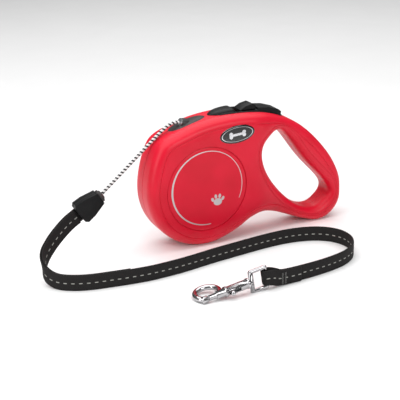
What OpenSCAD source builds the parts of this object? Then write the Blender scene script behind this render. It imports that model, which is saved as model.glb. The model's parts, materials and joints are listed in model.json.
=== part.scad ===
// Retractable cord leash: a two-shell housing with a looped handle, a sprung cord reel,
// a thumb brake, a free cord with a stopper, a webbing strap and a snap hook.
// X runs from the cord end to the handle, -Y is the left side, Z is up.
// The origin is on the floor, under the middle of the housing.

/* [Housing] */
// Radius of the reel end of the housing
disc_r = 47.5; // [45:0.5:50]
// Distance of the reel axis from the middle of the housing
disc_x = -39; // [-41:0.5:-37]
// Height of the reel axis
disc_z = 47.2; // [46:0.1:48]
// Half the thickness of the housing at the reel
disc_t = 17; // [16.5:0.1:18]
// Half the thickness of the housing at the handle
grip_t = 12.2; // [11.5:0.1:13]
// Wall of the shells
wall = 2.4; // [2:0.1:2.6]
// Radius of the reel chamber
chamber_r = 43.2; // [42:0.1:43.6]
// Radius of the round side discs
side_disc_r = 33.6; // [30:0.1:35]

/* [Reel] */
// Radius of the axle
axle_r = 3; // [2.5:0.1:3.5]
// Radius of the hub that the cord is wound on
hub_r = 17; // [15:0.5:20]
// Outer radius of the wound cord
wound_r = 34.5; // [30:0.5:36]
// Number of ratchet teeth
tooth_count = 24; // [18:1:30]
// Radius over the ratchet teeth
tooth_r = 40.5; // [40:0.1:41]

/* [Leash] */
// Diameter of the cord
cord_d = 2.5; // [2:0.1:3]
// Width of the strap
strap_w = 12; // [10:0.5:12]
// Thickness of one layer of strap
strap_t = 1.5; // [1.2:0.1:1.8]

/* [Snap hook] */
// Radius of the barrel
barrel_r = 3.5; // [3.2:0.1:3.8]
// Radius of the hook's bent rod
hook_rod_r = 2.1; // [1.8:0.1:2.3]
// Radius of the hook's ring, along the middle of its rod
hook_ring_r = 8.8; // [8.4:0.1:9.2]

/* [Hidden] */

$fn = 64;
fit = 0.05;      // running clearance of a shaft in its bore
snug = 0.02;     // clearance of two pieces that don't move on each other
far = 300;       // longer than anything here

// ---- colours -------------------------------------------------------------
red = [0.86, 0.07, 0.16];
black = [0.07, 0.07, 0.08];
graphite = [0.20, 0.20, 0.22];
nylon = [0.85, 0.85, 0.82];
steel = [0.72, 0.73, 0.75];
brass = [0.80, 0.62, 0.30];
chrome = [0.85, 0.86, 0.88];

// ---- housing outline, in X and Z -----------------------------------------
end_x = 65.3;
end_z = 20.9;
end_r = 21.2;

function disc_pt(a) = [disc_x + disc_r*cos(a), disc_z + disc_r*sin(a)];
function end_pt(a) = [end_x + end_r*cos(a), end_z + end_r*sin(a)];

// Round the reel, along the underside, round the handle and back over the top.
outline_keys = concat(
  [for (a = [175:15:295]) disc_pt(a)],
  [[-9, 8.6], [1.5, 14.6], [12, 17], [23, 14.8], [34, 10.4], [45, 5.6], [55, 1.9]],
  [for (a = [-92:25:10]) end_pt(a)],
  [[85.2, 36], [79, 50], [69.3, 63.5], [57, 76.6], [45, 86.2], [32, 93.2]],
  [[18, 98.4], [2, 101], [-14, 101.8], [-30, 101], [-45, 98.6], [-58, 94.8]],
  [[-68.5, 91], [-75.8, 85.6], [-80.6, 76.5], [-84.4, 64]]
);

function catmull(a, b, c, d, t) = 0.5*(2*b + (c - a)*t + (2*a - 5*b + 4*c - d)*t*t
  + (3*b - a - 3*c + d)*t*t*t);

// A closed smooth curve through the keys, cut into `cuts` pieces between each two.
function smooth_loop(keys, cuts) = let (n = len(keys)) [
  for (i = [0:n - 1])
    for (j = [0:cuts - 1])
      catmull(keys[(i + n - 1) % n], keys[i], keys[(i + 1) % n], keys[(i + 2) % n], j/cuts)
];

outline = smooth_loop(outline_keys, 2);
loop_n = len(outline);

// Outward normals of a closed loop that runs anticlockwise.
function normals(loop) = let (n = len(loop)) [
  for (i = [0:n - 1])
    let (d = loop[(i + 1) % n] - loop[(i + n - 1) % n])
      [d[1], -d[0]]/norm(d)
];
function grown(loop, by) = let (m = normals(loop)) [
  for (i = [0:len(loop) - 1]) loop[i] + by*m[i]
];

// ---- finger hole of the handle: a bent, rounded oval ----------------------
hole_x = 44.8;
hole_z = 47.5;
hole_tilt = -50.6;
hole_long = 40.4;
hole_short = 16;
hole_power = 3.3;
hole_bend = -6.1;

function signed_pow(v, p) = sign(v)*pow(abs(v), p);
function hole_pt(a) =
  let (u = hole_long*signed_pow(cos(a), 2/hole_power))
  let (v = hole_short*signed_pow(sin(a), 2/hole_power) + hole_bend*(1 - pow(u/hole_long, 2)))
    [hole_x + u*cos(hole_tilt) - v*sin(hole_tilt), hole_z + u*sin(hole_tilt) + v*cos(hole_tilt)];
hole_dense = [for (a = [0:2:358]) hole_pt(a)];

// The place where a ray from the hole's middle towards p meets the hole's edge.
hole_mid = [38, 52];
function cross2(a, b) = a[0]*b[1] - a[1]*b[0];
function hole_towards(p) =
  let (d = p - hole_mid, n = len(hole_dense))
  let (hits = [
    for (i = [0:n - 1])
      let (a = hole_dense[i] - hole_mid, b = hole_dense[(i + 1) % n] - hole_mid)
      let (ca = cross2(d, a), cb = cross2(d, b))
      if (ca <= 0 && cb > 0 && a*d > 0) hole_mid + a + (b - a)*ca/(ca - cb)
  ])
    hits[0];

// ---- one half of the housing as a ring of quads ---------------------------
round_in = 7;        // how far the outer edge is rounded inwards
round_part = 0.53;   // the part of the half thickness that the rounding takes
flare_in = 6;        // how far the edge of the finger hole is rounded
flare_part = 0.62;

function ease(t) = let (c = min(max(t, 0), 1)) c*c*(3 - 2*c);
function half_t(p) = disc_t + (grip_t - disc_t)*ease((p[0] - 2)/34);

// A point at p, lowered to the given part of the local half thickness.
function at_part(p, part) = [p[0], -part*half_t(p), p[1]];
function mix(a, b, t) = a + (b - a)*t;

// Where the handle is narrow, the rounding shrinks so that the two edges never meet.
function nearest(p, loop) = min([for (q = loop) norm(p - q)]);
outer_room = [for (p = outline) min(1, (0.5*nearest(p, hole_dense) - 0.3)/round_in)];
outline_normals = normals(outline);
function outer_at(by) = [
  for (i = [0:loop_n - 1]) outline[i] - by*outer_room[i]*outline_normals[i]
];
outer_rim = outer_at(round_in);

// The rings of the face and of the finger hole's edge all lie on rays from the hole's middle.
hole_loop = [for (p = outer_rim) hole_towards(p)];
function hole_at(part) = [
  for (i = [0:loop_n - 1])
    let (d = outer_rim[i] - hole_loop[i], long = norm(d))
      hole_loop[i] + part*min(flare_in, 0.48*long)*d/long
];
hole_rim = hole_at(1);
face_cuts = [0.2, 0.4, 0.6, 0.8];
shell_rings = concat(
  [[for (p = outline) at_part(p, 0)]],
  [for (a = [0:22.5:90])
    [for (p = outer_at(round_in*(1 - cos(a)))) at_part(p, 1 - round_part*(1 - sin(a)))]],
  [for (t = face_cuts) [for (i = [0:loop_n - 1]) at_part(mix(outer_rim[i], hole_rim[i], t), 1)]],
  [for (a = [90:-22.5:0])
    [for (p = hole_at(1 - cos(a))) at_part(p, 1 - flare_part*(1 - sin(a)))]],
  [[for (p = hole_loop) at_part(p, 0)]]
);

// Joins closed rings of equal length into a solid that closes on itself.
// side is 1 for the left shell as drawn, and -1 for its mirror image.
module ring_of_rings(rings, side) {
  m = len(rings);
  n = len(rings[0]);
  points = [for (r = rings) for (p = r) [p[0], side*p[1], p[2]]];
  faces = [
    for (k = [0:m - 1])
      for (i = [0:n - 1])
        let (a = k*n + i, b = k*n + (i + 1) % n)
        let (c = ((k + 1) % m)*n + (i + 1) % n, d = ((k + 1) % m)*n + i)
          each side > 0 ? [[a, c, b], [a, d, c]] : [[a, b, c], [a, c, d]]
  ];
  polyhedron(points, faces);
}

// Stands a flat XZ drawing up, and makes it thick from y0 to y1.
module upright(y0, y1) {
  translate([0, y1, 0])
    rotate([90, 0, 0])
      linear_extrude(y1 - y0)
        children();
}

// A cylinder along Y at (x, z).
module rod_y(x, z, r, y0, y1) {
  translate([x, y0, z])
    rotate([-90, 0, 0])
      cylinder(r = r, h = y1 - y0);
}

// ---- brake places ----------------------------------------------------------
button_pivot = [-20, 90];
button_half_w = 7.2;
pawl_pivot = [-0.8, 71];
pin_r = 1.5;
well = [[-25.5, 95.6], [-25.5, 85.4], [-12.6, 84.5], [-12.6, 74], [-6, 66], [3.4, 66],
  [3.4, 86.5], [32.2, 88.5], [32.2, 112], [-8.2, 112], [-8.2, 95.6]];
bezel_profile = [[-27, 95.8], [-29.4, 100.6], [-27.4, 102.8], [-23.5, 104], [-18.5, 104.8],
  [-13, 105.2], [-10.5, 105], [-9.2, 103.4], [-8, 102.2], [-8, 95.8]];
spring_x = 16;
spring_z0 = 84.6;
spring_z1 = 91.0;

// A teardrop seen from above: pointed in front, square behind.
module bezel_plan(extra) {
  long = 15 + extra;
  half = 7.5 + extra;
  polygon(concat(
    [for (a = [90:9:270]) [-14.5 + long*cos(a), half*sin(a)*(1 - 0.22*cos(a)*cos(a))]],
    [[-6.5, -half], [-6.5, half]]
  ));
}

// ---- nozzle places ---------------------------------------------------------
nozzle_x = -50;
nozzle_z = 96.9;
nozzle_tilt = -17;
nozzle_long = 17.5;
nozzle_half_w = 7.6;
eyelet_x = -50.8;
eyelet_z = 97.4;
eyelet_lean = 157;   // direction of the cord as it leaves, from +X towards +Z

module oval(a, b, extra) {
  polygon([for (t = [0:9:351]) [(a + extra)*cos(t), (b + extra)*sin(t)]]);
}
module nozzle_block(extra, depth, top) {
  translate([nozzle_x, 0, nozzle_z])
    rotate([0, nozzle_tilt, 0])
      translate([0, 0, -depth])
        linear_extrude(depth + top)
          oval(nozzle_long, nozzle_half_w, extra);
}

// ---- screws ----------------------------------------------------------------
screw_places = [[-73, 79], [7, 27], [71.5, 49.5], [71, 6.6]];
screw_r = 1.4;
screw_head_r = 2.6;
screw_y0 = -9;
screw_y1 = 7;       // underside of the head
boss_r = 3.8;

// ---- shells ----------------------------------------------------------------
module shell_blank(side) {
  ring_of_rings(shell_rings, side);
}

// Room inside the handle: between the outline and the finger hole.
module handle_room() {
  difference() {
    intersection() {
      polygon(grown(outline, -4.6));
      translate([9, 3])
        square([90, 90]);
    }
    polygon(grown(hole_dense_even, 4.6));
    for (s = screw_places)
      translate(s)
        circle(r = boss_r);
    translate([-1, 74])
      square([40, 30]);
  }
}
hole_dense_even = [for (a = [0:6:354]) hole_pt(a)];

// What is cut from either shell, drawn for the left one.
module shell_cuts() {
  rod_y(disc_x, disc_z, chamber_r, wall - disc_t, 1);
  upright(-9.4, 1)
    handle_room();
  upright(-7.6, 1)
    polygon(well);
  translate([0, 0, 95.7])
    linear_extrude(far)
      bezel_plan(0.15);
  nozzle_block(0.15, 5.15, 12);
  rod_y(disc_x, disc_z, side_disc_r + 0.15, -far, 0.8 - disc_t);
  translate([-44.6, 0, 70])
    cylinder(r = 5.2, h = 24.5);
  translate([spring_x, 0, spring_z0 - 0.1])
    cylinder(r = 3.4, h = 10);
  rod_y(button_pivot[0], button_pivot[1], pin_r + snug, -11, 1);
  translate([badge_x, -disc_t - 1, badge_z])
    rotate([-90, 0, 0])
      rotate([0, 0, -badge_tilt])
        linear_extrude(1.7)
          oval(badge_a, badge_b, 0.15);
  translate([-far, -far, -far])
    cube([2*far, 2*far, far]);
}

module housing_left() {
  color(red) {
    difference() {
      union() {
        difference() {
          shell_blank(1);
          shell_cuts();
          rod_y(pawl_pivot[0], pawl_pivot[1], 3.7, -14.4, -3.4);
          upright(-14.4, -3.4)
            polygon([[-16, 84], [-16, 72], [-6, 66], [3.2, 70], [1.5, 75], [-6, 84]]);
        }
        rod_y(disc_x, disc_z, 6.5, -15, -12.9);
      }
      rod_y(disc_x, disc_z, axle_r + snug, -16, 1);
      rod_y(pawl_pivot[0], pawl_pivot[1], pin_r + snug, -16, 1);
      for (s = screw_places)
        rod_y(s[0], s[1], screw_r + snug, screw_y0 - 0.5, 1);
    }
  }
}

module housing_right() {
  color(red) {
    difference() {
      union() {
        difference() {
          shell_blank(-1);
          mirror([0, 1, 0])
            shell_cuts();
        }
        rod_y(disc_x, disc_z, 6.5, 13.8, 15);
      }
      rod_y(disc_x, disc_z, axle_r + snug, 0, 16);
      rod_y(pawl_pivot[0], pawl_pivot[1], pin_r + snug, -1, 4.2);
      for (s = screw_places) {
        rod_y(s[0], s[1], screw_r + 0.15, -1, screw_y1 + 1);
        rod_y(s[0], s[1], screw_head_r + 0.2, screw_y1, 30);
      }
    }
  }
}

module side_disc() {
  rod_y(disc_x, disc_z, side_disc_r, -disc_t, 0.8 - disc_t - snug);
}
module side_disc_left() {
  color(red)
    side_disc();
}
module side_disc_right() {
  color(red)
    mirror([0, 1, 0])
      side_disc();
}

badge_x = -13;
badge_z = 87.6;
badge_a = 15;
badge_b = 7;
badge_tilt = 4;
module badge() {
  translate([badge_x, -disc_t - 0.25, badge_z])
    rotate([-90, 0, 0])
      rotate([0, 0, -badge_tilt])
        linear_extrude(0.9)
          oval(badge_a, badge_b, 0);
}
module badge_left() {
  color(black)
    badge();
}
module badge_right() {
  color(black)
    mirror([0, 1, 0])
      badge();
}

// ---- nozzle and eyelet -----------------------------------------------------
module eyelet_axis() {
  translate([eyelet_x, 0, eyelet_z])
    rotate([0, 90 - eyelet_lean, 0])
      children();
}
module cord_nozzle() {
  color(graphite)
    difference() {
      union() {
        intersection() {
          nozzle_block(0, 5, 6);
          translate([nozzle_x, 0, nozzle_z])
            rotate([0, nozzle_tilt, 0])
              translate([0, 0, -88.6])
                rod_y(0, 0, 90, -12, 12);
        }
        eyelet_axis()
          translate([0, 0, -4])
            cylinder(r = 3.7, h = 6.4);
      }
      eyelet_axis()
        translate([0, 0, -12])
          cylinder(r = 2.9, h = 20);
      eyelet_axis()
        translate([0, 0, 2.4])
          cylinder(r = 3.5 + snug, h = 10);
    }
}
module cord_eyelet() {
  color(steel)
    eyelet_axis()
      difference() {
        union() {
          translate([0, 0, -3])
            cylinder(r = 2.9 - snug, h = 6);
          translate([0, 0, 2.4 + snug])
            cylinder(r = 3.5, h = 0.8);
        }
        translate([0, 0, -5])
          cylinder(r = cord_d/2 + 0.15, h = 12);
      }
}

// ---- brake -----------------------------------------------------------------
module brake_bezel() {
  color(black)
    intersection() {
      upright(-8, 8)
        polygon(bezel_profile);
      translate([0, 0, 90])
        linear_extrude(20)
          bezel_plan(0);
    }
}

slider_profile = [[-4.6, 101.7], [-4.6, 102.6], [0, 105.2], [6, 106.5], [9.2, 104.9],
  [9.2, 101.7]];
module brake_button() {
  color(black)
    difference() {
      union() {
        rod_y(button_pivot[0], button_pivot[1], 3.4, -5, 5);
        upright(-5, 5)
          polygon([[-20, 93.4], [-20, 87], [4, 89], [4, 95]]);
        upright(-button_half_w, button_half_w)
          polygon([[-4.8, 94], [-4.8, 101.5], [10, 101.5], [10.4, 103.2], [20, 102],
            [28.6, 99.2], [30.9, 97.2], [30.4, 93.9], [20, 92.4], [4, 90.8]]);
        upright(-6, 2)
          polygon([[-9, 91], [-9, 75.2], [-8, 74.6], [-5, 74.6], [-4, 75.6], [-4, 91]]);
      }
      rod_y(button_pivot[0], button_pivot[1], pin_r + fit, -6, 6);
      translate([-3, -1.7, 99.4])
        cube([11, 3.4, 3]);
      translate([spring_x, 0, 90])
        cylinder(r = 3.1, h = 1.2 + 0.1);
    }
}
module lock_slider() {
  color(black)
    union() {
      upright(-5.6, 5.6)
        polygon(slider_profile);
      translate([1.5, -1.5, 99.6])
        cube([5, 3, 2.6]);
    }
}
module brake_pivot_pin() {
  color(steel)
    rod_y(button_pivot[0], button_pivot[1], pin_r, -10.8, 10.8);
}
module pawl_pin() {
  color(steel)
    rod_y(pawl_pivot[0], pawl_pivot[1], pin_r, -15.8, 4);
}

// The pawl's tooth stands clear of the ratchet until the button is pressed.
pawl_at = 50;        // direction of the tooth from the reel axis
pawl_clear = 1.3;    // its height over the teeth at rest
function on_reel(r, a) = [disc_x + r*cos(a), disc_z + r*sin(a)];
module brake_pawl() {
  tip_r = tooth_r + pawl_clear;
  color(steel)
    difference() {
      union() {
        rod_y(pawl_pivot[0], pawl_pivot[1], 3, -14.1, -3.7);
        upright(-14, -12.3)
          polygon([on_reel(tip_r, pawl_at - 1.2), on_reel(tip_r + 2, pawl_at - 3.4),
            pawl_pivot + [-2.4, -0.4], pawl_pivot + [0.8, 2.8],
            on_reel(tip_r + 4.6, pawl_at - 1), on_reel(tip_r + 4.4, pawl_at + 2.2),
            on_reel(tip_r, pawl_at + 1.2)]);
        upright(-7.4, -3.8)
          polygon([pawl_pivot + [-7.4, 1.2], pawl_pivot + [-1, -2.4], pawl_pivot + [1, 2.8],
            pawl_pivot + [-7.4, 3.2]]);
      }
      rod_y(pawl_pivot[0], pawl_pivot[1], pin_r + fit, -20, 0);
    }
}

// ---- springs ---------------------------------------------------------------
// A tube along a path: rings of a flat section, set across the path.
function unit(v) = v/norm(v);
function path_dir(path, i) = let (n = len(path) - 1)
  unit(path[min(i + 1, n)] - path[max(i - 1, 0)]);
module sweep(path, section, wides) {
  n = len(path);
  m = len(section);
  points = [
    for (i = [0:n - 1])
      let (t = path_dir(path, i), w = unit(wides[i] - (wides[i]*t)*t), s = cross(w, t))
        for (q = section) path[i] + q[0]*w + q[1]*s
  ];
  sides = [
    for (i = [0:n - 2])
      for (j = [0:m - 1])
        let (a = i*m + j, b = i*m + (j + 1) % m)
          each [[a, a + m, b + m], [a, b + m, b]]
  ];
  caps = concat([[for (j = [0:m - 1]) j]], [[for (j = [m - 1:-1:0]) (n - 1)*m + j]]);
  polyhedron(points, concat(sides, caps));
}
function round_section(r, sides) = [for (j = [0:sides - 1]) r*[cos(j*360/sides), sin(j*360/sides)]];

// A round wire coil along +Z.
module coil_spring(r, wire_r, z0, z1, turns) {
  steps = 12*turns;
  path = [for (i = [0:steps])
    [r*cos(i*30), r*sin(i*30), z0 + wire_r + (z1 - z0 - 2*wire_r)*i/steps]];
  sweep(path, round_section(wire_r, 6), [for (p = path) [p[0], p[1], 0]]);
}
module brake_spring() {
  color(steel)
    translate([spring_x, 0, 0])
      coil_spring(2.4, 0.35, spring_z0, spring_z1, 4);
}

// Flat spiral: close turns at the cup wall, then a long sweep in to the arbor.
module power_spring() {
  turns_out = 6;
  steps = 20;
  band = 0.5;
  r_wall = 32.4;
  r_mid = 25.5;
  r_arbor = 6.6;
  turns_in = 2;
  n_out = turns_out*steps;
  n_in = turns_in*steps;
  function spiral_r(i) = i <= n_out ? r_wall + (r_mid - r_wall)*i/n_out
    : r_mid + (r_arbor - r_mid)*(i - n_out)/n_in;
  function spiral(i, off) = (spiral_r(i) + off)*[cos(i*360/steps), sin(i*360/steps)];
  color(steel)
    translate([disc_x, 0, disc_z])
      upright(1.6, 10.2)
        polygon(concat([for (i = [0:n_out + n_in]) spiral(i, 0)],
          [for (i = [n_out + n_in:-1:0]) spiral(i, -band)]));
}

// ---- reel ------------------------------------------------------------------
module on_axis() {
  translate([disc_x, 0, disc_z])
    rotate([-90, 0, 0])
      children();
}
// A tube about the reel axis, from y0 to y1.
module ring_y(r_out, r_in, y0, y1) {
  difference() {
    rod_y(disc_x, disc_z, r_out, y0, y1);
    rod_y(disc_x, disc_z, r_in, y0 - 1, y1 + 1);
  }
}
bush_r = 5.4;
module reel_drum() {
  color(nylon)
    difference() {
      union() {
        rod_y(disc_x, disc_z, hub_r, -10.7, -1.2);
        rod_y(disc_x, disc_z, 39.4, -1.2, 0.4);
        rod_y(disc_x, disc_z, 35, 0.4, 10.8);
      }
      rod_y(disc_x, disc_z, 33, 0.4, 12);
      rod_y(disc_x, disc_z, bush_r + snug, -12, 1);
      rod_y(disc_x + 12, disc_z, 1.2 + snug, -9, 1);
      for (a = [60:60:300])
        rod_y(disc_x + 11.5*cos(a), disc_z + 11.5*sin(a), 3.4, -12, -3);
    }
}
module reel_flange() {
  color(nylon)
    difference() {
      ring_y(39, bush_r + snug, -12.1, -10.7);
      for (a = [0:45:315])
        rod_y(disc_x + 26*cos(a), disc_z + 26*sin(a), 4, -13, -10);
    }
}
module ratchet_ring() {
  pitch = 360/tooth_count;
  root_r = tooth_r - 3.2;
  color(steel)
    difference() {
      union() {
        rod_y(disc_x, disc_z, root_r, -13.9, -12.1);
        upright(-13.9, -12.1)
          for (i = [0:tooth_count - 1])
            translate([disc_x, disc_z])
              rotate([0, 0, pawl_at + pitch*(i + 0.5)])
                polygon([[root_r - 1, -2.4], [tooth_r, -1.3], [tooth_r, 1.3], [root_r - 1, 2.4]]);
      }
      rod_y(disc_x, disc_z, 33, -15, -10);
    }
}
module reel_bush() {
  color(brass)
    ring_y(bush_r, axle_r + fit, -12.3, 0.3);
}
module spring_cover() {
  color(nylon)
    ring_y(35, 9, 10.8, 12.2);
}
module cord_wound() {
  color(nylon)
    difference() {
      ring_y(wound_r, hub_r + 0.05, -10.6, -1.3);
      rod_y(disc_x - 6, disc_z + wound_r, 1, -10, -9);
    }
}
module cord_anchor_pin() {
  color(steel)
    rod_y(disc_x + 12, disc_z, 1.2, -8.6, 0.3);
}
module axle() {
  color(steel)
    rod_y(disc_x, disc_z, axle_r, -15.8, 15.8);
}
module axle_washers() {
  color(brass) {
    ring_y(6, axle_r + snug, -12.88, -12.4);
    ring_y(6, axle_r + snug, 13.3, 13.78);
  }
}
module spring_arbor() {
  color(steel)
    difference() {
      ring_y(5.9, axle_r + snug, 0.6, 13.2);
      translate([disc_x + 3.4, 0, disc_z - 0.4])
        cube([4, 10.4, 0.8]);
    }
}

// ---- screws ----------------------------------------------------------------
module housing_screws() {
  color(steel)
    for (s = screw_places)
      difference() {
        union() {
          rod_y(s[0], s[1], screw_r, screw_y0, screw_y1 + 0.5);
          rod_y(s[0], s[1], screw_head_r, screw_y1, screw_y1 + 1.8);
        }
        upright(screw_y1 + 0.8, screw_y1 + 3)
          translate(s)
            circle(r = 1.3, $fn = 6);
      }
}

// ---- cord ------------------------------------------------------------------
// The cord from the wound coil to the eyelet, then from the eyelet to the stopper.
inner_route = [[-43.5, -6, 82.9], [-45, -5.2, 86], [-44.6, -3.6, 89.6], [-43.8, -1.6, 92.6],
  [-44.6, -0.4, 94.6], [-46.6, 0, 95.6]];
free_route = [[-53.9, 0, 98.7], [-57, 0, 99.1], [-60.5, -0.2, 98.6], [-64, -0.5, 97.3],
  [-67.5, -0.8, 95.2], [-71, -1, 92.7], [-76, -1, 88.7], [-82, -0.9, 83.7], [-88, -0.8, 78.6],
  [-94, -0.7, 73.5], [-100, -0.6, 68.4], [-106, -0.4, 63.3], [-112, -0.2, 58.2],
  [-117, -0.1, 54], [-121, 0, 50.7]];
cord_across = [0, 1, 0];
module cord_inner() {
  color(nylon)
    sweep(inner_route, round_section(cord_d/2, 8), [for (p = inner_route) [1, 0.3, 0]]);
}
module cord_free() {
  color(nylon)
    sweep(free_route, round_section(cord_d/2, 8), [for (p = free_route) cord_across]);
}

// ---- stopper, in its own frame: x along it towards the strap ---------------
stopper_at = [-120.6, 0, 51];
stopper_turn = 213;
stopper_len = 21;
nose_half_w = 5;
tail_half_w = 8.6;
stopper_half_t = 4.6;
module in_stopper() {
  translate(stopper_at)
    rotate([0, -stopper_turn, 0])
      children();
}
stopper_plan = [[1, -nose_half_w], [12, -tail_half_w + 0.6], [stopper_len - 2, -tail_half_w],
  [stopper_len, -tail_half_w + 2], [stopper_len, tail_half_w - 2],
  [stopper_len - 2, tail_half_w], [12, tail_half_w - 0.6], [1, nose_half_w]];
module stopper_shell() {
  difference() {
    upright(-stopper_half_t, 0)
      polygon(stopper_plan);
    translate([-1, 0, 0])
      rotate([0, 90, 0])
        cylinder(r = cord_d/2 + 0.2, h = 6);
    translate([4, -3, -3.2])
      cube([6.4, 4, 6.4]);
    translate([9.5, -1.7, -strap_w/2 - 0.3])
      cube([20, 3, strap_w + 0.6]);
    rod_y(14, 0, 1.6 + snug, -3, 1);
  }
}
module stopper_front() {
  color(black)
    in_stopper()
      stopper_shell();
}
module stopper_back() {
  color(black)
    in_stopper()
      mirror([0, 1, 0])
        stopper_shell();
}
module stopper_collar() {
  color(graphite)
    in_stopper()
      rotate([0, 90, 0])
        difference() {
          union() {
            translate([0, 0, -0.8])
              cylinder(r = 5.2, h = 1.7);
            translate([0, 0, -2])
              cylinder(r1 = 3.2, r2 = 4.4, h = 1.2);
          }
          translate([0, 0, -3])
            cylinder(r = cord_d/2 + 0.2, h = 6);
        }
}
module cord_knot() {
  color(nylon)
    in_stopper()
      translate([7, 0, 0])
        sphere(r = 2.8);
}
module strap_pin() {
  color(steel)
    in_stopper()
      rod_y(14, 0, 1.6, -2.8, 2.8);
}

// ---- strap -----------------------------------------------------------------
// From the stopper down to the floor, round to the left, past the front, and back.
strap_route = [[-136, 0, 41.1], [-140.5, -0.2, 38.3], [-147, -1.4, 34.9], [-153.6, -4, 31.2],
  [-160.2, -7.4, 27.2], [-166, -11, 23.2], [-171.4, -15.4, 18.8], [-174.6, -20.4, 14.4],
  [-175.4, -26, 10.6], [-173.6, -32, 7.8], [-169, -38.4, 6.3], [-161, -44.6, 6.1],
  [-149, -49.4, 6.1], [-134, -52, 6.1], [-119, -54, 6.1], [-104, -55, 6.1], [-87, -54, 6.1],
  [-71, -52, 6.1], [-49, -48, 6.1], [-27, -45, 6.1], [-12, -43, 6.1], [3, -41.6, 6.1],
  [16, -41.4, 6.1], [28, -43, 6.1], [39, -46.6, 6.1], [48, -53, 6.1], [53.6, -62, 6.1],
  [54.8, -72, 6.1], [52, -82, 6.1], [45, -91, 6.1], [34, -97.6, 6.1], [20, -101.6, 6.1],
  [6, -103.8, 6.1], [-8, -104.9, 6.1], [-20, -105.2, 6.1], [-26, -105.1, 6.7],
  [-30.5, -104.6, 8.6], [-34, -104.1, 9.6], [-36.8, -104, 9.7]];
// The direction of the strap's width: tilted at the stopper, upright on the floor.
strap_lean = [-0.55, 0, 0.84];
function strap_wide(i) = unit(mix(strap_lean, [0, 0, 1], ease(i/10)));
function flat_section(w, t) = [[w/2, t/2], [-w/2, t/2], [-w/2, -t/2], [w/2, -t/2]];
// The section of a layer beside the strap, on the given side.
function layer_section(w, t, off) = [for (q = flat_section(w, t)) q + [0, off]];
fold_gap = 0.06;
rear_fold_end = 14;
last = len(strap_route) - 1;

module strap() {
  color(black)
    sweep(strap_route, flat_section(strap_w, strap_t), [for (i = [0:last]) strap_wide(i)]);
}
module strap_fold_rear() {
  part = [for (i = [1:rear_fold_end]) strap_route[i]];
  color(black)
    sweep(part, layer_section(strap_w - 0.4, strap_t, strap_t + fold_gap),
      [for (i = [1:rear_fold_end]) strap_wide(i)]);
}

// The strap's end turns round the eye's upright bar and comes back in front of itself.
bar_x = -37.2;
eye_y = -106.6;
bar_r = 1.5;
turn_r = 2.6;
front_fold_z = 6.2;
snap_dip = -8.5;     // the hook hangs a little nose down
fold_route = concat(
  [for (a = [98:21.5:270]) [bar_x + turn_r*cos(a), eye_y + turn_r*sin(a), 9.7]],
  [[-34, -109, 9.4], [-30.5, -108, 8.2], [-26.5, -107.08, 6.7],
    [-20, -106.76, front_fold_z], [-8, -106.46, front_fold_z]]
);
// The webbing leans with the bar round the turn, then stands upright again.
bar_lean = [sin(snap_dip), 0, cos(snap_dip)];
fold_wides = concat(
  [for (a = [98:21.5:270]) bar_lean],
  [[-0.12, 0, 1], [-0.06, 0, 1], [0, 0, 1], [0, 0, 1], [0, 0, 1]]
);
function turned(route) = [for (i = [len(route) - 1:-1:0]) route[i]];
module strap_fold_front() {
  color(black)
    sweep(turned(fold_route), flat_section(strap_w - 0.4, strap_t),
      turned(fold_wides));
}
module strap_bartacks() {
  color(nylon)
    for (k = [0:1])
      translate([-21.9 - 2.5*k, -107.86 - 0.13*k, 1.6])
        cube([0.8, 0.23, 9]);
}

// ---- snap hook, in its own frame: the axis runs along -X -------------------
snap_at = [bar_x, eye_y, 9.9];
ring_s = 43.5;       // distance of the hook's ring from the eye's outer bar
ring_v = 7;          // how far the ring's middle stands beside the axis
gate_tip = 46.6;
module in_snap() {
  translate(snap_at)
    rotate([0, snap_dip, 0])
      children();
}
// A cylinder along the axis, from distance s0 to s1.
module rod_s(r, s0, s1) {
  translate([-s0, 0, 0])
    rotate([0, -90, 0])
      cylinder(r = r, h = s1 - s0);
}
eye_half_h = 7.9;
eye_len = 11.6;
module snap_eye() {
  color(chrome)
    in_snap() {
      cylinder(r = bar_r, h = 2*eye_half_h, center = true);
      for (k = [-1, 1])
        translate([0, 0, k*eye_half_h])
          rod_s(bar_r, 0, eye_len);
      for (s = [0, eye_len])
        for (k = [-1, 1])
          translate([-s, 0, k*eye_half_h])
            sphere(r = bar_r);
      translate([-eye_len, 0, 0])
        cylinder(r = bar_r + 0.3, h = 2*eye_half_h, center = true);
      rod_s(2.6, eye_len, 13.6);
      rod_s(1.6, eye_len, 18.4);
      rod_s(2.3, 17, 18.4);
    }
}
module snap_collar() {
  color(chrome)
    in_snap()
      difference() {
        rod_s(2.7 - snug, 14.2, 16.8);
        rod_s(1.6 + fit, 14, 17);
      }
}
module snap_hook() {
  arc_from = -50;
  color(chrome)
    in_snap()
      difference() {
        union() {
          rod_s(barrel_r, 14.2, 33);
          rod_s(barrel_r + 0.4, 14.2, 15.6);
          rod_s(barrel_r + 0.4, 31.6, 33.4);
          rod_s(2.9, 33, 40);
          rod_s(2.6, gate_tip + 0.2, 51);
          translate([-ring_s, ring_v, 0])
            rotate([0, 0, arc_from])
              rotate_extrude(angle = 180 - 2*arc_from)
                translate([hook_ring_r, 0])
                  circle(r = hook_rod_r);
        }
        rod_s(2.7, 10, 19.2);
        rod_s(2 + fit, 18, 41);
        rod_s(2.9, 19, 31);
        translate([-31, -6, -1.3])
          cube([9.6, 6, 2.6]);
      }
}
module snap_bolt() {
  color(chrome)
    in_snap() {
      rod_s(2, 29, gate_tip);
      rod_s(2.8, 27.6, 30);
      translate([-28.8, 0, 0])
        rotate([90, 0, 0])
          cylinder(r = 1.1, h = 5.4);
      translate([-28.8, -5.4, 0])
        sphere(r = 1.9);
    }
}
module snap_spring() {
  color(steel)
    in_snap()
      rotate([0, -90, 0])
        coil_spring(2.2, 0.3, 19.4, 27.4, 5);
}

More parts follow.
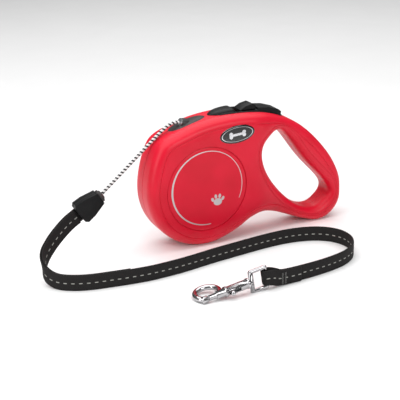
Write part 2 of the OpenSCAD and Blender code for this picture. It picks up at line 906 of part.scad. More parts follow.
housing_left();
housing_right();
side_disc_left();
side_disc_right();
badge_left();
badge_right();
cord_nozzle();
cord_eyelet();
brake_bezel();
housing_screws();
axle();
axle_washers();
spring_arbor();
brake_pivot_pin();
pawl_pin();
brake_spring();
reel_drum();
reel_flange();
ratchet_ring();
reel_bush();
spring_cover();
power_spring();
cord_wound();
cord_anchor_pin();
brake_button();
lock_slider();
brake_pawl();
cord_inner();
cord_free();
stopper_front();
stopper_back();
stopper_collar();
cord_knot();
strap_pin();
strap();
strap_fold_rear();
strap_fold_front();
strap_bartacks();
snap_eye();
snap_hook();
snap_collar();
snap_bolt();
snap_spring();
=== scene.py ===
# %% [markdown]
# # A retractable cord leash
# A red two-shell housing holds a sprung reel. A flecked cord leaves its nozzle and ends in a black
# stopper, then comes a length of black webbing and a chrome snap hook. The solid pieces arrive from
# the frame in metres, and this lesson gives each piece that shows a finer skin and a finish.

# %% Start: the frame and its size
import json
import math

import bmesh
import bpy
import numpy as np
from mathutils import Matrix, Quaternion, Vector
from mathutils.geometry import delaunay_2d_cdt

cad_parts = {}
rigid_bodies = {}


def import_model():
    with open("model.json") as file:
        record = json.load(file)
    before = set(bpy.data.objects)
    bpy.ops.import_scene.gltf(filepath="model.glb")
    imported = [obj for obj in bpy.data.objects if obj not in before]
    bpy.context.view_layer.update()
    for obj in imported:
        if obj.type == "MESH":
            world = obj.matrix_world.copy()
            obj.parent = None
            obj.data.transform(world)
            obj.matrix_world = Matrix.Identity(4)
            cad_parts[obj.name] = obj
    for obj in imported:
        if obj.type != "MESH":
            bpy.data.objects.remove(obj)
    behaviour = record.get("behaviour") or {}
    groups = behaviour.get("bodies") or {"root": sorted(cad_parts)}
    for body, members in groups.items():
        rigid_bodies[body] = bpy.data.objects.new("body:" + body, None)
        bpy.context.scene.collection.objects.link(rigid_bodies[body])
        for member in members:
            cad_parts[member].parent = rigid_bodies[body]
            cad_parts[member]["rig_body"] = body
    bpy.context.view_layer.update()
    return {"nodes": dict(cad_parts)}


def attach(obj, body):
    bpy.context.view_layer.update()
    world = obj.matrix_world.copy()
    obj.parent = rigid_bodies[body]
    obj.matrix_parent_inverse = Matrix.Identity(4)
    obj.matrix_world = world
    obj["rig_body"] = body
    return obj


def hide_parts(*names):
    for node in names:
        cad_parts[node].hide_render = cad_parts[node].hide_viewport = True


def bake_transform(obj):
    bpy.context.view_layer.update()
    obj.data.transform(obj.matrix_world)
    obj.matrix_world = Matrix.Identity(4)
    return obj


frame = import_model()
NODES = frame["nodes"]
MM = 0.001


def body_of_node(name):
    """The moving body that a solid piece belongs to."""
    return NODES[name]["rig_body"]


# %% [markdown]
# ## The camera
# A long lens from the front left, a little above the table, as for a catalogue. It is made first so
# that every piece can be judged in its frame while it is being shaped.

# %% Camera
EYE = Vector((-0.3685, -0.7091, 0.3298))
LOOK_AT = Vector((-0.0378, 0.0, 0.0326))
camera_data = bpy.data.cameras.new("studio_camera")
camera_data.lens, camera_data.sensor_width = 95.6, 36.0
camera = bpy.data.objects.new("studio_camera", camera_data)
camera.location = EYE
camera.rotation_mode = "QUATERNION"
camera.rotation_quaternion = (LOOK_AT - EYE).to_track_quat("-Z", "Y") @ Quaternion(
    (0, 0, 1), math.radians(-1.2)
)
bpy.context.scene.collection.objects.link(camera)
bpy.context.scene.camera = camera
bpy.context.scene.view_settings.view_transform = "Standard"

# %% [markdown]
# ## Surfaces from grids
# Most skins here are grids of points: one direction runs along the piece and the other goes round
# it. One helper turns such a grid into a closed mesh with its faces outwards and with a map of
# distances along and across, in millimetres, that the weaves follow.


# %% Grid helper
def surface(name, points, around=True, along=False, lids=False, run=None, across=None):
    """A mesh from a grid in mm. Point (i, j) joins its neighbours i+1 and j+1 by a quad. `around`
    closes j and `along` closes i. `lids` closes both ends with a fan to the end ring's mean."""
    n, m = points.shape[:2]
    rows = np.arange(n if along else n - 1)
    cols = np.arange(m if around else m - 1)
    i, j = (g.ravel() for g in np.meshgrid(rows, cols, indexing="ij"))
    i2, j2 = (i + 1) % n, (j + 1) % m
    quads = np.stack([i * m + j, i2 * m + j, i2 * m + j2, i * m + j2], 1)
    verts = points.reshape(-1, 3)
    faces = quads.tolist()
    fans = np.zeros((0, 3), int)
    if lids:
        verts = np.vstack([verts, points[0].mean(0), points[-1].mean(0)])
        k = np.arange(m)
        k2 = (k + 1) % m
        head = np.stack([k, k2, np.full(m, n * m)], 1)
        tail = np.stack([(n - 1) * m + k2, (n - 1) * m + k, np.full(m, n * m + 1)], 1)
        fans = np.vstack([head, tail])
        faces += fans.tolist()
    mesh = bpy.data.meshes.new(name)
    mesh.from_pydata((verts * MM).tolist(), [], faces)
    if run is not None:
        u = np.stack([run[i], run[i + 1 if not along else i], run[i + 1 if not along else i], run[i]], 1)
        v = np.stack([across[j], across[j], across[j + 1], across[j + 1]], 1)
        if lids:
            ends = np.repeat([run[0], run[-1]], m)[:, None].repeat(3, 1)
            u, v = np.append(u.ravel(), ends.ravel()), np.append(v.ravel(), np.zeros(6 * m))
        uv = np.stack([u.ravel(), v.ravel()], 1).astype(np.float32)
        mesh.uv_layers.new(name="cloth_map").data.foreach_set("uv", uv.ravel())
    mesh.polygons.foreach_set("use_smooth", np.ones(len(faces), bool))
    if signed_volume(verts, quads, fans) < 0:
        mesh.flip_normals()
    obj = bpy.data.objects.new(name, mesh)
    bpy.context.scene.collection.objects.link(obj)
    print(name, "has", len(faces), "faces")
    return obj


def signed_volume(verts, quads, fans):
    """Six times the volume: the sum of a . (b x c) over the faces, cut into triangles."""
    tris = np.vstack([quads[:, [0, 1, 2]], quads[:, [0, 2, 3]], fans])
    a, b, c = verts[tris[:, 0]], verts[tris[:, 1]], verts[tris[:, 2]]
    return float((a * np.cross(b, c)).sum())


def unit(v):
    return v / np.maximum(np.linalg.norm(v, axis=-1, keepdims=True), 1e-9)


def catmull(keys, cuts, closed):
    """A smooth curve through the keys: each span is a cubic whose slope at a key is half the way
    between the key's two neighbours."""
    keys = np.asarray(keys, float)
    if closed:
        a, b, c, d = np.roll(keys, 1, 0), keys, np.roll(keys, -1, 0), np.roll(keys, -2, 0)
    else:
        long = np.vstack([2 * keys[0] - keys[1], keys, 2 * keys[-1] - keys[-2]])
        a, b, c, d = long[:-3], long[1:-2], long[2:-1], long[3:]
    t = (np.arange(cuts) / cuts)[None, :, None]
    a, b, c, d = (k[:, None] for k in (a, b, c, d))
    out = 0.5 * (2 * b + (c - a) * t + (2 * a - 5 * b + 4 * c - d) * t**2
                 + (3 * b - a - 3 * c + d) * t**3)
    out = out.reshape(-1, keys.shape[1])
    return out if closed else np.vstack([out, keys[-1]])


def even_steps(path, step):
    """The same line cut at equal distances of about `step`, with those distances."""
    gone = np.append(0, np.cumsum(np.linalg.norm(np.diff(path, axis=0), axis=1)))
    at = np.linspace(0, gone[-1], max(int(round(gone[-1] / step)), 4) + 1)
    return np.stack([np.interp(at, gone, path[:, k]) for k in range(3)], 1), at


def carried(path, wide, section):
    """A section carried along a path: point + q0 * width + q1 * side, where the width direction is
    made square to the path and the side is square to both."""
    heading = unit(np.gradient(path, axis=0))
    wide = unit(wide - (wide * heading).sum(1, keepdims=True) * heading)
    side = np.cross(wide, heading)
    return (path[:, None] + section[None, :, :1] * wide[:, None]
            + section[None, :, 1:] * side[:, None])


# %% [markdown]
# ## Shader sums in plain Python
# A pattern is easier to read as a formula than as a web of nodes. `Field` wraps a socket, so that
# `1 - mask` or `(x * x + z * z).root()` adds the Math nodes behind the scenes. `Finish` is one
# material with its main shader.


# %% Field and Finish
class Field:
    """A number that varies over a surface."""

    def __init__(self, tree, socket):
        self.tree, self.socket = tree, socket

    def sum_node(self, operation, *values):
        node = self.tree.nodes.new("ShaderNodeMath")
        node.operation = operation
        for socket, value in zip(node.inputs, values):
            feed(self.tree, socket, value)
        return Field(self.tree, node.outputs[0])

    def __add__(self, other):
        return self.sum_node("ADD", self, other)

    def __radd__(self, other):
        return self.sum_node("ADD", other, self)

    def __sub__(self, other):
        return self.sum_node("SUBTRACT", self, other)

    def __rsub__(self, other):
        return self.sum_node("SUBTRACT", other, self)

    def __mul__(self, other):
        return self.sum_node("MULTIPLY", self, other)

    def __rmul__(self, other):
        return self.sum_node("MULTIPLY", other, self)

    def __truediv__(self, other):
        return self.sum_node("DIVIDE", self, other)

    def __neg__(self):
        return self.sum_node("MULTIPLY", self, -1.0)

    def __abs__(self):
        return self.sum_node("ABSOLUTE", self)

    def root(self):
        return self.sum_node("SQRT", self)

    def sine(self):
        return self.sum_node("SINE", self)

    def fraction(self):
        return self.sum_node("FRACT", self)

    def most(self, other):
        return self.sum_node("MAXIMUM", self, other)

    def angle(self, other):
        return self.sum_node("ARCTAN2", self, other)

    def between(self, low, high):
        """0 below low, 1 above high, and a smooth rise from one to the other."""
        node = self.tree.nodes.new("ShaderNodeMapRange")
        node.interpolation_type = "SMOOTHSTEP"
        for socket, value in zip(node.inputs, (self, low, high, 0.0, 1.0)):
            feed(self.tree, socket, value)
        return Field(self.tree, node.outputs[0])


def feed(tree, socket, value):
    """Links a field to a socket, or sets the socket to a plain value."""
    if isinstance(value, Field):
        tree.links.new(value.socket, socket)
    else:
        socket.default_value = value


class Finish:
    """A material: a main shader, with helpers for its patterns."""

    def __init__(self, name, **constants):
        self.material = bpy.data.materials.new(name)
        self.material.use_nodes = True
        self.tree = self.material.node_tree
        self.skin = next(n for n in self.tree.nodes if n.type == "BSDF_PRINCIPLED")
        for socket, value in constants.items():
            self.skin.inputs[socket.replace("_", " ")].default_value = value

    def node(self, kind, settings=(), **sockets):
        """Any other node: its type, its settings, and the values or links of its sockets."""
        node = self.tree.nodes.new(kind)
        for key, value in dict(settings).items():
            setattr(node, key, value)
        for key, value in sockets.items():
            feed(self.tree, node.inputs[int(key[1:]) if key[1:].isdigit() else key], value)
        return node

    def place(self):
        """x, y and z on the piece, in mm."""
        coords = self.node("ShaderNodeTexCoord")
        parts = self.node("ShaderNodeSeparateXYZ", _0=Field(self.tree, coords.outputs["Object"]))
        return [Field(self.tree, s) * 1000.0 for s in parts.outputs]

    def cloth_place(self):
        """Distance along and across a cloth or a cord, in mm."""
        uv = self.node("ShaderNodeUVMap", {"uv_map": "cloth_map"})
        parts = self.node("ShaderNodeSeparateXYZ", _0=Field(self.tree, uv.outputs[0]))
        return [Field(self.tree, s) for s in parts.outputs[:2]]

    def grain(self, size, detail=3.0):
        """Noise from 0 to 1 whose blotches are about `size` mm across."""
        coords = self.node("ShaderNodeTexCoord")
        noise = self.node("ShaderNodeTexNoise", _0=Field(self.tree, coords.outputs["Object"]),
                          Scale=1000.0 / size, Detail=detail)
        return Field(self.tree, noise.outputs[0])

    def tint(self, mask, low, high):
        """The colour `low` where the mask is 0 and `high` where it is 1."""
        mix = self.node("ShaderNodeMix", {"data_type": "RGBA"}, _0=mask)
        for index, colour in ((6, low), (7, high)):
            feed(self.tree, mix.inputs[index], colour if isinstance(colour, Field) else (*colour, 1.0))
        return Field(self.tree, mix.outputs[2])

    def relief(self, height, depth_mm, strength=1.0):
        """A bump whose height of 1 stands `depth_mm` proud."""
        bump = self.node("ShaderNodeBump", Height=height, Strength=strength,
                         Distance=depth_mm * MM)
        self.paint("Normal", Field(self.tree, bump.outputs[0]))

    def paint(self, socket, value):
        feed(self.tree, self.skin.inputs[socket], value)

    def on(self, obj):
        obj.data.materials.clear()
        obj.data.materials.append(self.material)
        return obj


# %% [markdown]
# ## Finishes
# The shells are moulded plastic with a fine spark texture, which scatters the light a little. The
# print on the disc, the rim of the badge and the dashes in the webbing are drawn by formulas on the
# piece's own place, so they stay put when the piece moves.


# %% Red shell plastic
RED, DEEP_RED = (0.70, 0.002, 0.026), (0.60, 0.001, 0.018)


def red_finish(name, **constants):
    """Moulded red: a faint drift of colour, a fine spark texture and a soft gloss."""
    made = Finish(name, **constants)
    drift, spark = made.grain(26.0, 2.0), made.grain(0.32, 2.0)
    made.paint("Base Color", made.tint(drift.between(0.25, 0.8), RED, DEEP_RED))
    made.paint("Roughness", 0.33 + spark * 0.14)
    made.relief(spark, 0.03, 0.35)
    return made


red_shell = red_finish("red_shell_plastic", Specular_IOR_Level=0.35)


# %% Printed disc: a silver ring that opens at the lower right, and a paw print
DISC_X, DISC_Z = -39.0, 47.2
SILVER = (0.60, 0.57, 0.58)
printed_disc = red_finish("printed_red_disc", Specular_IOR_Level=0.35)
x, _, z = printed_disc.place()
dx, dz = x - DISC_X, z - (DISC_Z + 0.9)
radius = (dx * dx + dz * dz).root()
turn = dz.angle(-dx)          # 0 at the left, rising over the top, to pi at the right
ring_width = 0.26 + 0.50 * (1.0 - (abs(turn) / 1.9)).most(0.0)
ring = 1.0 - (abs(radius - 29.7) - ring_width).between(-0.12, 0.12)
lower_right = dx.between(2.0, 2.6) * (1.0 - dz.between(-12.6, -12.0))
ring = ring * (1.0 - lower_right)


def blob(fx, fz, half_x, half_z, lean=0.0):
    """A soft-edged ellipse on two fields that hold the distances from its middle."""
    c, s = math.cos(math.radians(lean)), math.sin(math.radians(lean))
    u, v = fx * c + fz * s, fz * c - fx * s
    size = ((u / half_x) * (u / half_x) + (v / half_z) * (v / half_z)).root()
    return 1.0 - size.between(0.95, 1.05)


PAW_X, PAW_Z = 8.5, -12.5
paw = blob(dx - PAW_X, dz - PAW_Z, 3.6, 2.9)
for toe_x, toe_z, lean in ((-4.4, 2.3, 24), (-1.7, 4.6, 8), (1.7, 4.6, -8), (4.4, 2.3, -24)):
    paw = paw.most(blob(dx - (PAW_X + toe_x), dz - (PAW_Z + toe_z), 1.15, 1.75, lean))
print_mask = ring.most(paw)
drift = printed_disc.grain(26.0, 2.0)
plain = printed_disc.tint(drift.between(0.25, 0.8), RED, DEEP_RED)
printed_disc.paint("Base Color", printed_disc.tint(print_mask, plain, SILVER))
printed_disc.paint("Metallic", print_mask * 0.55)

# %% Black and grey plastics
black_satin = Finish("black_satin_plastic", Specular_IOR_Level=0.22)
spark = black_satin.grain(0.35, 2.0)
black_satin.paint("Base Color", black_satin.tint(black_satin.grain(9.0), (0.0015, 0.0015, 0.002),
                                                 (0.004, 0.004, 0.0045)))
black_satin.paint("Roughness", 0.30 + spark * 0.22)
black_satin.relief(spark, 0.03, 0.4)

nozzle_grey = Finish("nozzle_grey_plastic", Specular_IOR_Level=0.4)
spark = nozzle_grey.grain(0.3, 2.0)
nozzle_grey.paint("Base Color", nozzle_grey.tint(nozzle_grey.grain(7.0), (0.020, 0.016, 0.016),
                                                 (0.034, 0.028, 0.028)))
nozzle_grey.paint("Roughness", 0.36 + spark * 0.2)
nozzle_grey.relief(spark, 0.03, 0.4)

# %% Badge: black gloss with a thin silver line and a bone
BADGE_X, BADGE_Z, BADGE_TILT = -13.0, 87.6, 4.0
badge_gloss = Finish("badge_gloss_black", Roughness=0.2, Coat_Weight=0.3, Coat_Roughness=0.05)
x, _, z = badge_gloss.place()
tilt_cos, tilt_sin = math.cos(math.radians(BADGE_TILT)), math.sin(math.radians(BADGE_TILT))
bx, bz = x - BADGE_X, z - BADGE_Z
u, v = bx * tilt_cos + bz * tilt_sin, bz * tilt_cos - bx * tilt_sin
oval_size = ((u / 13.5) * (u / 13.5) + (v / 5.7) * (v / 5.7)).root()
line = 1.0 - (abs(oval_size - 0.97)).between(0.012, 0.035)
bar = (1.0 - abs(u).between(5.0, 5.3)) * (1.0 - abs(v).between(0.85, 1.1))
knobs = blob(abs(u) - 5.6, abs(v) - 1.15, 1.55, 1.5)
badge_marks = line.most(bar).most(knobs)
badge_gloss.paint("Base Color", badge_gloss.tint(badge_marks, (0.002, 0.002, 0.002), (0.62, 0.62, 0.64)))
badge_gloss.paint("Metallic", badge_marks * 0.7)
badge_gloss.relief(badge_marks + badge_gloss.grain(3.0) * 0.05, 0.05, 0.4)

# %% Chrome, steel, brass and nylon
chrome = Finish("polished_chrome", Metallic=1.0)
# Painted reflection: the chrome's colour is kept dark and mottled in cloudy patches, standing in for
# dark surroundings to mirror.
cloud = chrome.grain(4.0, 4.0)
chrome.paint("Base Color", chrome.tint(cloud, (0.36, 0.35, 0.36), (0.52, 0.51, 0.52)))
chrome.paint("Roughness", 0.04 + cloud.between(0.4, 0.75) * 0.07)
chrome.relief(chrome.grain(2.2, 2.0), 0.02, 0.5)


def worked_metal(name, dark, light, rough):
    """Turned metal: fine cloudy scratches in its colour and gloss."""
    made = Finish(name, Metallic=1.0)
    marks = made.grain(0.7, 4.0)
    made.paint("Base Color", made.tint(marks, dark, light))
    made.paint("Roughness", rough + marks * 0.2)
    made.relief(marks, 0.02, 0.4)
    return made


steel = worked_metal("turned_steel", (0.42, 0.43, 0.45), (0.62, 0.63, 0.65), 0.22)
brass = worked_metal("turned_brass", (0.62, 0.44, 0.18), (0.80, 0.60, 0.28), 0.2)
nylon = Finish("natural_nylon", Subsurface_Weight=0.1)
nylon.paint("Base Color", nylon.tint(nylon.grain(6.0), (0.66, 0.66, 0.62), (0.78, 0.78, 0.74)))
nylon.paint("Roughness", 0.4 + nylon.grain(0.4) * 0.15)
nylon.relief(nylon.grain(0.4, 2.0), 0.02, 0.4)

# %% Webbing: herringbone ribs with a painted highlight that lightens their crests, and a reflective dashed stitch down its middle
webbing = Finish("black_webbing", Specular_IOR_Level=0.25)
along, across = webbing.cloth_place()
chevron = abs((across / 3.0).fraction() - 0.5) * 2.6
ribs = abs((along * (math.pi / 1.25) + chevron * 1.6).sine())
threads = abs((across * (math.pi / 0.55)).sine())
cloth = ribs * 0.75 + threads * 0.25
beat = (along / 5.6).fraction()
dash = (1.0 - abs(across + 0.15).between(0.26, 0.46)) * (
    beat.between(0.02, 0.08) * (1.0 - beat.between(0.46, 0.52)))
seam = 1.0 - abs(across).between(0.5, 1.3)
fuzz = webbing.grain(0.8, 4.0)
# Painted highlight: the black is lighter where the ribs and threads stand high, mixed with random fuzz.
dark = webbing.tint(cloth * 0.7 + fuzz * 0.3, (0.0015, 0.0012, 0.0012), (0.016, 0.014, 0.014))
webbing.paint("Base Color", webbing.tint(dash, dark, (0.34, 0.34, 0.31)))
webbing.paint("Roughness", 0.78 - dash * 0.35)
webbing.relief(cloth * 0.6 - seam * 0.9 + dash * 1.5, 0.22, 0.8)

thread = Finish("tack_thread", Roughness=0.6)
thread.paint("Base Color", thread.tint(thread.grain(0.5), (0.03, 0.03, 0.03), (0.14, 0.14, 0.13)))
thread.relief(thread.grain(0.4), 0.05, 0.6)

# %% Cord: a white braid with black flecks
braid = Finish("flecked_braid", Sheen_Weight=0.15)
along, across = braid.cloth_place()
twist = (along * (2 * math.pi / 3.0) + across * (2 * math.pi)).sine()
fleck = twist.between(-0.05, 0.35)
plait = (along * (2 * math.pi / 1.1) + across * (6 * math.pi)).sine() * (
    along * (2 * math.pi / 1.1) - across * (6 * math.pi)).sine()
fray = braid.grain(0.5, 3.0)
white = braid.tint(fray, (0.62, 0.61, 0.60), (0.84, 0.83, 0.82))
braid.paint("Base Color", braid.tint(fleck, white, (0.015, 0.013, 0.015)))
braid.paint("Roughness", 0.66 + fray * 0.1)
braid.relief(plait * 0.5 + 0.5, 0.18, 0.8)

# %% [markdown]
# ## The free cord
# Braided cord of 2.5 mm. It leaves the nozzle, bends over its lip and runs straight to the stopper,
# because the spring in the reel keeps it taut. The whole of the free length is in view, and the rest
# is wound on the reel. It is a tube carried along the same line that the solid model has.

# %% Cord
CORD_KEYS = [(-53.9, 0, 98.7), (-57, 0, 99.1), (-60.5, -0.2, 98.6), (-64, -0.5, 97.3),
             (-67.5, -0.8, 95.2), (-71, -1, 92.7), (-76, -1, 88.7), (-82, -0.9, 83.7),
             (-88, -0.8, 78.6), (-94, -0.7, 73.5), (-100, -0.6, 68.4), (-106, -0.4, 63.3),
             (-112, -0.2, 58.2), (-117, -0.1, 54), (-121, 0, 50.7)]
cord_line, cord_run = even_steps(catmull(CORD_KEYS, 8, False), 0.4)
turns = np.arange(20) * (2 * math.pi / 20)
CORD_R = 1.25
ring_of_cord = CORD_R * np.stack([np.cos(turns), np.sin(turns)], 1)
cord = surface("cord", carried(cord_line, np.tile([0.0, 1.0, 0.0], (len(cord_line), 1)), ring_of_cord),
               lids=True, run=cord_run, across=np.arange(21) / 20)
braid.on(cord)
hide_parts("cord_free")
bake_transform(cord)
print("free cord, mm:", round(float(cord_run[-1]), 1))

# %% [markdown]
# ## The webbing
# Woven strap, 12 mm wide and 1.5 mm thick, that stands on its edge on the table. Its section is a
# rectangle with soft corners, drawn as a superellipse. Both ends are doubled: near the stopper a
# second layer lies behind it, and at the hook the strap turns round the eye's bar.

# %% Webbing line
STRAP_WIDE, STRAP_THICK = 12.0, 1.5
FOLD_WIDE = 11.7                      # the doubled layers stay a little inside the strap's edges
LAYER_STEP = 1.56                     # from one layer's middle to the next
STRAP_KEYS = [(-136, 0, 41.1), (-140.5, -0.2, 38.3), (-147, -1.4, 34.9), (-153.6, -4, 31.2),
              (-160.2, -7.4, 27.2), (-166, -11, 23.2), (-171.4, -15.4, 18.8), (-174.6, -20.4, 14.4),
              (-175.4, -26, 10.6), (-173.6, -32, 7.8), (-169, -38.4, 6.3), (-161, -44.6, 6.1),
              (-149, -49.4, 6.1), (-134, -52, 6.1), (-119, -54, 6.1), (-104, -55, 6.1), (-87, -54, 6.1),
              (-71, -52, 6.1), (-49, -48, 6.1), (-27, -45, 6.1), (-12, -43, 6.1), (3, -41.6, 6.1),
              (16, -41.4, 6.1), (28, -43, 6.1), (39, -46.6, 6.1), (48, -53, 6.1), (53.6, -62, 6.1),
              (54.8, -72, 6.1), (52, -82, 6.1), (45, -91, 6.1), (34, -97.6, 6.1), (20, -101.6, 6.1),
              (6, -103.8, 6.1), (-8, -104.9, 6.1), (-20, -105.2, 6.1), (-26, -105.1, 6.7),
              (-30.5, -104.6, 8.6), (-34, -104.1, 9.6), (-36.8, -104, 9.7)]
keys = np.array(STRAP_KEYS, float)
count = np.arange(len(keys))
lift = np.clip(count / 10, 0, 1)
lift = (lift * lift * (3 - 2 * lift))[:, None]
strap_wide_keys = unit(np.array([-0.55, 0, 0.84]) * (1 - lift) + np.array([0, 0, 1.0]) * lift)


def soft_flat(wide, thick):
    """A rectangle with soft corners: half the size times the signed power of cosine and sine."""
    t = np.arange(36) * (2 * math.pi / 36)
    c, s = np.cos(t), np.sin(t)
    return np.stack([wide / 2 * np.sign(c) * abs(c) ** 0.34, thick / 2 * np.sign(s) * abs(s) ** 0.5], 1)


def webbing_piece(name, line_keys, wide_keys, wide, thick, beside=0.0):
    """A length of strap along the keys, moved sideways by `beside` for a second layer."""
    both = catmull(np.hstack([line_keys, wide_keys]), 10, False)
    gone = np.append(0, np.cumsum(np.linalg.norm(np.diff(both[:, :3], axis=0), axis=1)))
    at = np.linspace(0, gone[-1], int(gone[-1] / 0.9) + 2)
    both = np.stack([np.interp(at, gone, both[:, k]) for k in range(6)], 1)
    section = soft_flat(wide, thick)
    map_across = np.append(section[:, 0], section[0, 0])
    grid = carried(both[:, :3], both[:, 3:], section + [0.0, beside])
    obj = surface(name, grid, lids=True, run=at, across=map_across)
    webbing.on(obj)
    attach(obj, "leash_line")
    return obj, both[:, :3], at[-1]


strap, strap_line, strap_length = webbing_piece(
    "strap_webbing", keys, strap_wide_keys, STRAP_WIDE, STRAP_THICK)
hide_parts("strap")
rear, _, _ = webbing_piece("strap_rear_layer", keys[1:15], strap_wide_keys[1:15],
                           FOLD_WIDE, STRAP_THICK, LAYER_STEP)
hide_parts("strap_fold_rear")
print("strap, mm:", round(float(strap_length), 1))

# %% Turn round the eye's bar
BAR_X, BAR_Y, TURN_R = -37.2, -106.6, 2.6
half_turn = np.radians(np.arange(98, 271, 21.5))
loop_keys = np.stack([BAR_X + TURN_R * np.cos(half_turn), BAR_Y + TURN_R * np.sin(half_turn),
                      np.full(len(half_turn), 9.7)], 1)
loop_keys = np.vstack([loop_keys, [(-34, -109, 9.4), (-30.5, -108, 8.2), (-26.5, -107.08, 6.7),
                                   (-20, -106.76, 6.2), (-8, -106.46, 6.2)]])[::-1]
loop_wide = np.tile([0, 0, 1.0], (len(loop_keys), 1))   # leans with the bar round the turn
loop_wide[:, 0] = [0, 0, 0, -0.06, -0.12] + [-0.148] * len(half_turn)
loop, _, _ = webbing_piece("strap_hook_loop", loop_keys, loop_wide, FOLD_WIDE, STRAP_THICK)
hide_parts("strap_fold_front")

# %% Bar tacks: zigzag threads through the doubled webbing
tacks = []
for place_x in (-21.5, -24.0):
    rise = np.linspace(1.8, 10.4, 61)
    swing = 2 * abs((rise / 1.15) % 1 - 0.5) - 0.5
    face_y = -107.62 - 0.055 * (-20 - place_x)
    zigzag = np.stack([place_x + 1.5 * swing, np.full(61, face_y), rise], 1)
    tube = 0.24 * np.stack([np.cos(turns[::2]), np.sin(turns[::2])], 1)
    tack = surface("bar_tack_%d" % len(tacks), carried(zigzag, np.tile([0, 1.0, 0], (61, 1)), tube),
                   lids=True)
    thread.on(tack)
    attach(tack, "leash_line")
    tacks.append(tack)
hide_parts("strap_bartacks")

# %% [markdown]
# ## The housing shells
# Each shell goes round the outline, over the rounded outer edge, across the face, into the finger
# hole, and back along the inside of the wall. Strips of quads make its edges, with a shallow groove
# along both edges of the face, and nets of triangles fill the face and the wall behind it. The side
# disc's seat is part of the strips. The well of the brake button is cut out at the end.

# %% Outline and finger hole
DISC_R = 47.5


def arc(cx, cz, r, degrees):
    a = np.radians(degrees)
    return np.stack([cx + r * np.cos(a), cz + r * np.sin(a)], 1)


outline_keys = np.vstack([
    arc(DISC_X, DISC_Z, DISC_R, np.arange(175, 296, 15)),
    [(-9, 8.6), (1.5, 14.6), (12, 17), (23, 14.8), (34, 10.4), (45, 5.6), (55, 1.9)],
    arc(65.3, 20.9, 21.2, np.arange(-92, 11, 25)),
    [(85.2, 36), (79, 50), (69.3, 63.5), (57, 76.6), (45, 86.2), (32, 93.2), (18, 98.4), (2, 101),
     (-14, 101.8), (-30, 101), (-45, 98.6), (-58, 94.8), (-68.5, 91), (-75.8, 85.6), (-80.6, 76.5),
     (-84.4, 64)]])
outline = catmull(outline_keys, 12, True)


def hole_curve(degrees):
    """A bent superellipse: long and short halves times signed powers of cosine and sine."""
    a = np.radians(degrees)
    u = 40.4 * np.sign(np.cos(a)) * abs(np.cos(a)) ** (2 / 3.3)
    v = 16 * np.sign(np.sin(a)) * abs(np.sin(a)) ** (2 / 3.3) - 6.1 * (1 - (u / 40.4) ** 2)
    t = math.radians(-50.6)
    return np.stack([44.8 + u * math.cos(t) - v * math.sin(t),
                     47.5 + u * math.sin(t) + v * math.cos(t)], 1)


HOLE_MID = np.array([42.0, 45.0])
dense = hole_curve(np.arange(0, 360, 0.25)) - HOLE_MID
dense_turn = np.arctan2(dense[:, 1], dense[:, 0])
order = np.argsort(dense_turn)
toward = outline - HOLE_MID
toward_turn = np.arctan2(toward[:, 1], toward[:, 0])
reach = np.interp(toward_turn, dense_turn[order], np.linalg.norm(dense, axis=1)[order],
                  period=2 * math.pi)
hole = HOLE_MID + reach[:, None] * np.stack([np.cos(toward_turn), np.sin(toward_turn)], 1)


def grown(loop, by):
    """A closed line moved outwards by `by` along its own normals."""
    d = np.roll(loop, -1, 0) - np.roll(loop, 1, 0)
    return loop + by * unit(np.stack([d[:, 1], -d[:, 0]], 1))


def half_thick(p):
    """17 mm at the reel, easing to 12.2 mm along the handle."""
    t = np.clip((p[:, 0] - 2) / 34, 0, 1)
    return 17 - 4.8 * t * t * (3 - 2 * t)


# %% Shell rings
def shell_ring(p, part, lower=0.0):
    """The line p at a part of the half thickness, lowered by `lower` mm."""
    return np.stack([p[:, 0], -(part * half_thick(p) - lower), p[:, 1]], 1)


def nearest(points, others):
    """Distance from each point to the nearest of the others."""
    return np.sqrt(((points[:, None] - others[None]) ** 2).sum(2).min(1))


# Where the handle is narrow, both roundings shrink so that they never meet.
outer_room = np.minimum(1, (0.5 * nearest(outline, hole) - 0.2) / 8.1)[:, None]
hole_room = np.minimum(1, (0.5 * nearest(hole, outline) - 0.2) / 6.9)[:, None]
bend = np.radians(np.linspace(0, 90, 12))
groove = ((7.1, 0.12), (7.25, 0.32), (7.45, 0.36), (7.65, 0.32), (7.8, 0.12), (8.1, 0.0))


def outer_ring(inset, part, lower=0.0):
    return shell_ring(grown(outline, -inset * outer_room), part, lower)


def hole_ring(inset, part, lower=0.0):
    return shell_ring(grown(hole, inset * hole_room), part, lower)


outer_side = [outer_ring(2.4, 0.0), outer_ring(0.3, 0.0), outer_ring(0, 0.02)]
outer_side += [outer_ring(7 * (1 - math.cos(a)), 1 - 0.53 * (1 - math.sin(a))) for a in bend]
outer_side += [outer_ring(inset, 1, low) for inset, low in groove]
hole_side = [hole_ring(inset - 1.2, 1, low) for inset, low in groove[::-1]]
hole_side += [hole_ring(6 * (1 - math.cos(a)), 1 - 0.62 * (1 - math.sin(a))) for a in bend[::-1]]
hole_side += [hole_ring(0, 0.02), hole_ring(0.3, 0.0), hole_ring(2.4, 0.0), hole_ring(3.0, 0.45),
              hole_ring(6.9, 1, 2.4)]
inner_side = [outer_ring(8.1, 1, 2.4), outer_ring(3.2, 0.5), outer_ring(2.4, 0.0)]

# %% Face patches: a net of triangles between the two edges of the face
SEAT_R = 33.95


def inside(points, loop):
    """Whether each point is inside a closed line: an odd number of its edges lie to the right."""
    a, b = loop, np.roll(loop, -1, 0)
    x, z = points[:, 0, None], points[:, 1, None]
    crosses = (a[:, 1] > z) != (b[:, 1] > z)
    with np.errstate(divide="ignore", invalid="ignore"):
        at = a[:, 0] + (z - a[:, 1]) * (b[:, 0] - a[:, 0]) / (b[:, 1] - a[:, 1])
    return (crosses & (x < at)).sum(1) % 2 == 1


